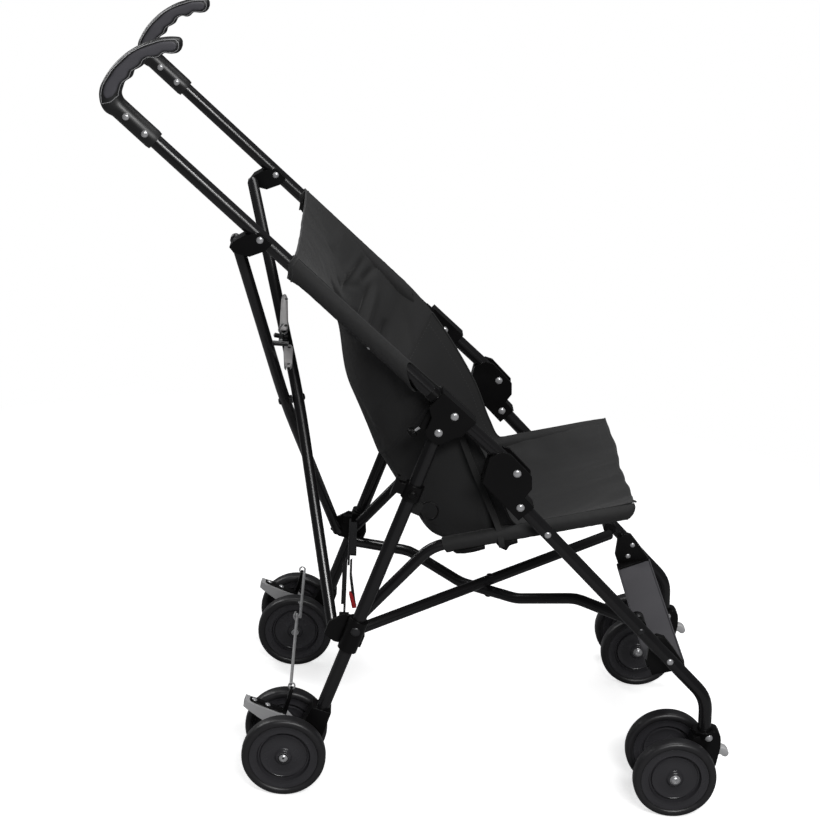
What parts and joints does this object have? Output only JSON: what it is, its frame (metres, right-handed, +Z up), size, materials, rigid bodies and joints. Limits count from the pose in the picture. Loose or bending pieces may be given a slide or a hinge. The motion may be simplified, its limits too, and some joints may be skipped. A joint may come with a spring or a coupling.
{
  "type": "folding umbrella stroller",
  "caption": "Light folding buggy: tube side frames, hooked grips, sling seat, double wheels at each corner, crossed struts and bars.",
  "frame": {"origin": "middle of the bounding box, on the floor", "axes": "+Z up from the floor, +X towards the front wheels, +Y towards the seated child's left"},
  "size_m": [0.8965, 0.4968, 1.0251],
  "materials": {
    "tube": "gloss black paint",
    "plastic": "black, satin",
    "grey_plastic": "dark grey, matte",
    "grip": "soft black",
    "tyre": "smooth black foam",
    "cloth": "plain black weave"
  },
  "bodies": {
    "right_frame": {"handle_tube_right": "tube", "handle_grip_right": "grip", "strut_clip_right": "plastic", "leg_bracket_right": "plastic", "back_cloth": "cloth", "seat_cloth": "cloth"},
    "left_frame": {"handle_tube_left": "tube", "handle_grip_left": "grip", "strut_clip_left": "plastic", "leg_bracket_left": "plastic"},
    "right_rear_leg": {"rear_leg_right": "tube", "leg_clamp_right": "plastic", "seat_node_right": "plastic", "seat_tube_right": "tube", "rear_housing_right": "plastic"},
    "right_front_leg": {"front_leg_right": "tube", "knee_block_right": "plastic", "bar_bracket_right": "tube", "footrest": "grey_plastic"},
    "left_rear_leg": {"rear_leg_left": "tube", "leg_clamp_left": "plastic", "seat_node_left": "plastic", "seat_tube_left": "tube", "rear_housing_left": "plastic"},
    "left_front_leg": {"front_leg_left": "tube", "knee_block_left": "plastic", "bar_bracket_left": "tube"},
    "strut_b": {"strut_b": "tube"},
    "strut_a": {"strut_a": "tube"},
    "left_stay": {"link_upper": "tube"},
    "right_stay": {"link_lower": "tube"},
    "bar_b": {"bar_b": "tube"},
    "bar_a": {"bar_a": "tube"},
    "left_lock": {"lock_arm_left": "tube"},
    "right_lock": {"lock_arm_right": "tube"},
    "lock_lever": {"lock_lever": "tube"},
    "left_brake_rod": {"brake_link_left": "tube"},
    "right_brake_rod": {"brake_link_right": "tube"},
    "right_pedal": {"brake_pedal_right": "grey_plastic"},
    "left_pedal": {"brake_pedal_left": "grey_plastic"},
    "right_caster": {"caster_housing_right": "plastic"},
    "right_caster_lock": {"caster_lock_right": "grey_plastic"},
    "left_caster": {"caster_housing_left": "plastic"},
    "left_caster_lock": {"caster_lock_left": "grey_plastic"},
    "wheel_rear_right_outer": {"tyre_rear_right_outer": "tyre", "hub_rear_right_outer": "plastic"},
    "wheel_rear_right_inner": {"tyre_rear_right_inner": "tyre", "hub_rear_right_inner": "plastic"},
    "wheel_rear_left_outer": {"tyre_rear_left_outer": "tyre", "hub_rear_left_outer": "plastic"},
    "wheel_rear_left_inner": {"tyre_rear_left_inner": "tyre", "hub_rear_left_inner": "plastic"},
    "wheel_front_right_outer": {"tyre_front_right_outer": "tyre", "hub_front_right_outer": "plastic"},
    "wheel_front_right_inner": {"tyre_front_right_inner": "tyre", "hub_front_right_inner": "plastic"},
    "wheel_front_left_outer": {"tyre_front_left_outer": "tyre", "hub_front_left_outer": "plastic"},
    "wheel_front_left_inner": {"tyre_front_left_inner": "tyre", "hub_front_left_inner": "plastic"}
  },
  "joints": [
    {"name": "fold", "type": "slide", "parent": "right_frame", "child": "left_frame", "axis": [0, -1, 0], "range_m": [0, 0.192], "deforming": ["back_cloth", "seat_cloth", "footrest"]},
    {"name": "right_rear_leg_fold", "type": "hinge", "parent": "right_frame", "child": "right_rear_leg", "pos_m": [0.00635, -0.195, 0.53575], "axis": [0, -1, 0], "range_deg": [0, 29.01]},
    {"name": "right_front_leg_fold", "type": "hinge", "parent": "right_frame", "child": "right_front_leg", "pos_m": [0.1154, -0.195, 0.4855], "axis": [0, -1, 0], "range_deg": [0, 66.01]},
    {"name": "left_rear_leg_fold", "type": "hinge", "parent": "left_frame", "child": "left_rear_leg", "pos_m": [0.00635, 0.195, 0.53575], "axis": [0, -1, 0], "range_deg": [0, 29.01]},
    {"name": "left_front_leg_fold", "type": "hinge", "parent": "left_frame", "child": "left_front_leg", "pos_m": [0.1154, 0.195, 0.4855], "axis": [0, -1, 0], "range_deg": [0, 66.01]},
    {"name": "strut_b_swing", "type": "hinge", "parent": "left_frame", "child": "strut_b", "pos_m": [-0.2731, 0.171, 0.7695], "axis": [0.7689, -0.6357, 0.0681], "range_deg": [0, 25.11]},
    {"name": "strut_a_swing", "type": "hinge", "parent": "right_frame", "child": "strut_a", "pos_m": [-0.2731, -0.171, 0.7695], "axis": [-0.7689, -0.6357, -0.0681], "range_deg": [0, 25.11]},
    {"name": "left_stay_fold", "type": "hinge", "parent": "strut_b", "child": "left_stay", "pos_m": [-0.2032, 0.066, 0.6], "axis": [-1, 0, 0], "range_deg": [0, 80.01]},
    {"name": "right_stay_fold", "type": "hinge", "parent": "strut_a", "child": "right_stay", "pos_m": [-0.2032, -0.066, 0.6], "axis": [1, 0, 0], "range_deg": [0, 80.01]},
    {"name": "bar_b_swing", "type": "hinge", "parent": "left_rear_leg", "child": "bar_b", "pos_m": [-0.0831, 0.155, 0.215], "axis": [0.3963, -0.5808, 0.7111], "range_deg": [0, 39.9]},
    {"name": "bar_a_swing", "type": "hinge", "parent": "right_rear_leg", "child": "bar_a", "pos_m": [-0.0831, -0.155, 0.215], "axis": [-0.3963, -0.5808, -0.7111], "range_deg": [0, 39.9]},
    {"name": "left_lock_fold", "type": "hinge", "parent": "left_rear_leg", "child": "left_lock", "pos_m": [-0.0986, 0.166, 0.2445], "axis": [-1, 0, 0], "range_deg": [0, 63.74]},
    {"name": "right_lock_fold", "type": "hinge", "parent": "right_rear_leg", "child": "right_lock", "pos_m": [-0.0986, -0.166, 0.2445], "axis": [1, 0, 0], "range_deg": [0, 63.74]},
    {"name": "lock_release", "type": "hinge", "parent": "left_lock", "child": "lock_lever", "pos_m": [-0.0933, 0, 0.25], "axis": [0, -1, 0], "range_deg": [0, 20]},
    {"name": "left_brake_rod_fold", "type": "hinge", "parent": "left_rear_leg", "child": "left_brake_rod", "pos_m": [-0.1656, 0.188, 0.143], "axis": [-1, 0, 0], "range_deg": [0, 57.06]},
    {"name": "right_brake_rod_fold", "type": "hinge", "parent": "right_rear_leg", "child": "right_brake_rod", "pos_m": [-0.1656, -0.188, 0.143], "axis": [1, 0, 0], "range_deg": [0, 57.06]},
    {"name": "brake", "type": "hinge", "parent": "right_rear_leg", "child": "right_pedal", "pos_m": [-0.1676, -0.195, 0.0875], "axis": [0, -1, 0], "range_deg": [0, 12]},
    {"name": "brake_left", "type": "hinge", "parent": "left_rear_leg", "child": "left_pedal", "pos_m": [-0.1676, 0.195, 0.0875], "axis": [0, -1, 0], "range_deg": [0, 12.01]},
    {"name": "right_caster_swivel", "type": "hinge", "parent": "right_front_leg", "child": "right_caster", "pos_m": [0.41243, -0.195, 0.16365], "axis": [-0.0872, 0, 0.9962], "continuous": true},
    {"name": "right_caster_lock", "type": "hinge", "parent": "right_caster", "child": "right_caster_lock", "pos_m": [0.43318, -0.195, 0.10424], "axis": [0, -1, 0], "range_deg": [0, 25]},
    {"name": "left_caster_swivel", "type": "hinge", "parent": "left_front_leg", "child": "left_caster", "pos_m": [0.41243, 0.195, 0.16365], "axis": [-0.0872, 0, 0.9962], "continuous": true},
    {"name": "left_caster_lock", "type": "hinge", "parent": "left_caster", "child": "left_caster_lock", "pos_m": [0.43318, 0.195, 0.10424], "axis": [0, -1, 0], "range_deg": [0, 25]},
    {"name": "rear_right_outer_spin", "type": "hinge", "parent": "right_rear_leg", "child": "wheel_rear_right_outer", "pos_m": [-0.1716, -0.237, 0.0585], "axis": [0, 1, 0], "continuous": true},
    {"name": "rear_right_inner_spin", "type": "hinge", "parent": "right_rear_leg", "child": "wheel_rear_right_inner", "pos_m": [-0.1716, -0.153, 0.0585], "axis": [0, 1, 0], "continuous": true},
    {"name": "rear_left_outer_spin", "type": "hinge", "parent": "left_rear_leg", "child": "wheel_rear_left_outer", "pos_m": [-0.1716, 0.237, 0.0585], "axis": [0, 1, 0], "continuous": true},
    {"name": "rear_left_inner_spin", "type": "hinge", "parent": "left_rear_leg", "child": "wheel_rear_left_inner", "pos_m": [-0.1716, 0.153, 0.0585], "axis": [0, 1, 0], "continuous": true},
    {"name": "front_right_outer_spin", "type": "hinge", "parent": "right_caster", "child": "wheel_front_right_outer", "pos_m": [0.3744, -0.237, 0.0585], "axis": [0, 1, 0], "continuous": true},
    {"name": "front_right_inner_spin", "type": "hinge", "parent": "right_caster", "child": "wheel_front_right_inner", "pos_m": [0.3744, -0.153, 0.0585], "axis": [0, 1, 0], "continuous": true},
    {"name": "front_left_outer_spin", "type": "hinge", "parent": "left_caster", "child": "wheel_front_left_outer", "pos_m": [0.3744, 0.237, 0.0585], "axis": [0, 1, 0], "continuous": true},
    {"name": "front_left_inner_spin", "type": "hinge", "parent": "left_caster", "child": "wheel_front_left_inner", "pos_m": [0.3744, 0.153, 0.0585], "axis": [0, 1, 0], "continuous": true}
  ],
  "couplings": [
    {"joint": "right_rear_leg_fold", "follows": "fold", "rad_per_m": 2.5956},
    {"joint": "right_front_leg_fold", "follows": "fold", "rad_per_m": 5.9073},
    {"joint": "left_rear_leg_fold", "follows": "fold", "rad_per_m": 2.5956},
    {"joint": "left_front_leg_fold", "follows": "fold", "rad_per_m": 5.9073},
    {"joint": "strut_b_swing", "follows": "fold", "rad_per_m": 2.2469},
    {"joint": "strut_a_swing", "follows": "fold", "rad_per_m": 2.2469},
    {"joint": "left_stay_fold", "follows": "fold", "rad_per_m": 7.1603},
    {"joint": "right_stay_fold", "follows": "fold", "rad_per_m": 7.1603},
    {"joint": "bar_b_swing", "follows": "fold", "rad_per_m": 3.5705},
    {"joint": "bar_a_swing", "follows": "fold", "rad_per_m": 3.5705},
    {"joint": "left_lock_fold", "follows": "fold", "rad_per_m": 5.704},
    {"joint": "right_lock_fold", "follows": "fold", "rad_per_m": 5.704},
    {"joint": "left_brake_rod_fold", "follows": "fold", "rad_per_m": 5.1064},
    {"joint": "right_brake_rod_fold", "follows": "fold", "rad_per_m": 5.1064},
    {"joint": "brake_left", "follows": "brake", "ratio": 1}
  ]
}
